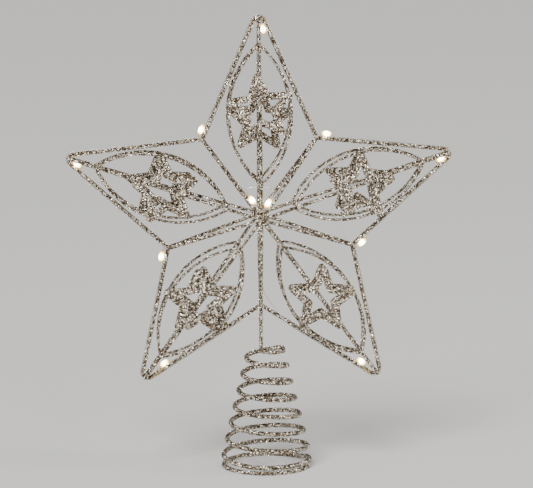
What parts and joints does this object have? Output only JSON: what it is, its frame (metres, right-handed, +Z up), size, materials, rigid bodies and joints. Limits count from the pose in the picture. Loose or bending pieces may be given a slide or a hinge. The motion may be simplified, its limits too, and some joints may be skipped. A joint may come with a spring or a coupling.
{
  "type": "christmas tree topper star",
  "caption": "Double-sided star of glittered wire, with small open stars in leaf-shaped frames and tiny warm lights, on a conical coil spring that slips over the tip of a tree",
  "frame": {"origin": "on the surface the coil stands on, straight below the middle of the star", "axes": "+Z up through the stem to the top point, -Y out of the front of the star, +X to the right seen from the front"},
  "size_m": [0.2098, 0.0496, 0.2485],
  "materials": {
    "glitter_wire": "steel coated in coarse silver and champagne glitter",
    "led_resin": "clear resin drop over a warm white LED, lit",
    "string_wire": "fine enamelled silver wire"
  },
  "bodies": {
    "coil_foot": {"lower_coil": "glitter_wire"},
    "coil_crown": {"upper_coil": "glitter_wire"},
    "star": {"back_hub_bead": "glitter_wire", "back_leaf_left_left": "glitter_wire", "back_leaf_left_lower_left": "glitter_wire", "back_leaf_left_lower_right": "glitter_wire", "back_leaf_left_right": "glitter_wire", "back_leaf_left_top": "glitter_wire", "back_leaf_right_left": "glitter_wire", "back_leaf_right_lower_left": "glitter_wire", "back_leaf_right_lower_right": "glitter_wire", "back_leaf_right_right": "glitter_wire", "back_leaf_right_top": "glitter_wire", "back_ridge_left": "glitter_wire", "back_ridge_lower_left": "glitter_wire", "back_ridge_lower_right": "glitter_wire", "back_ridge_right": "glitter_wire", "back_ridge_top": "glitter_wire", "back_small_star_left": "glitter_wire", "back_small_star_lower_left": "glitter_wire", "back_small_star_lower_right": "glitter_wire", "back_small_star_right": "glitter_wire", "back_small_star_top": "glitter_wire", "back_valley_bottom": "glitter_wire", "back_valley_lower_left": "glitter_wire", "back_valley_lower_right": "glitter_wire", "back_valley_upper_left": "glitter_wire", "back_valley_upper_right": "glitter_wire", "front_hub_bead": "glitter_wire", "front_leaf_left_left": "glitter_wire", "front_leaf_left_lower_left": "glitter_wire", "front_leaf_left_lower_right": "glitter_wire", "front_leaf_left_right": "glitter_wire", "front_leaf_left_top": "glitter_wire", "front_leaf_right_left": "glitter_wire", "front_leaf_right_lower_left": "glitter_wire", "front_leaf_right_lower_right": "glitter_wire", "front_leaf_right_right": "glitter_wire", "front_leaf_right_top": "glitter_wire", "front_ridge_left": "glitter_wire", "front_ridge_lower_left": "glitter_wire", "front_ridge_lower_right": "glitter_wire", "front_ridge_right": "glitter_wire", "front_ridge_top": "glitter_wire", "front_small_star_left": "glitter_wire", "front_small_star_lower_left": "glitter_wire", "front_small_star_lower_right": "glitter_wire", "front_small_star_right": "glitter_wire", "front_small_star_top": "glitter_wire", "front_valley_bottom": "glitter_wire", "front_valley_lower_left": "glitter_wire", "front_valley_lower_right": "glitter_wire", "front_valley_upper_left": "glitter_wire", "front_valley_upper_right": "glitter_wire", "hub_leds": "led_resin", "light_string": "string_wire", "notch_leds": "led_resin", "outline_wire": "glitter_wire", "stem": "glitter_wire", "tip_leds": "led_resin"}
  },
  "joints": [
    {"name": "coil_compression", "type": "slide", "parent": "coil_foot", "child": "coil_crown", "axis": [0, 0, 1], "range_m": [-0.01, 0.005], "stiffness_N_per_m": 1400, "springref_m": 0.0015, "deforming": ["lower_coil"]},
    {"name": "star_sway", "type": "hinge", "parent": "coil_crown", "child": "star", "pos_m": [0.0025, 0, 0.047], "axis": [0, 1, 0], "range_deg": [-12, 12], "stiffness_Nm_per_rad": 0.52, "deforming": ["upper_coil"]}
  ]
}
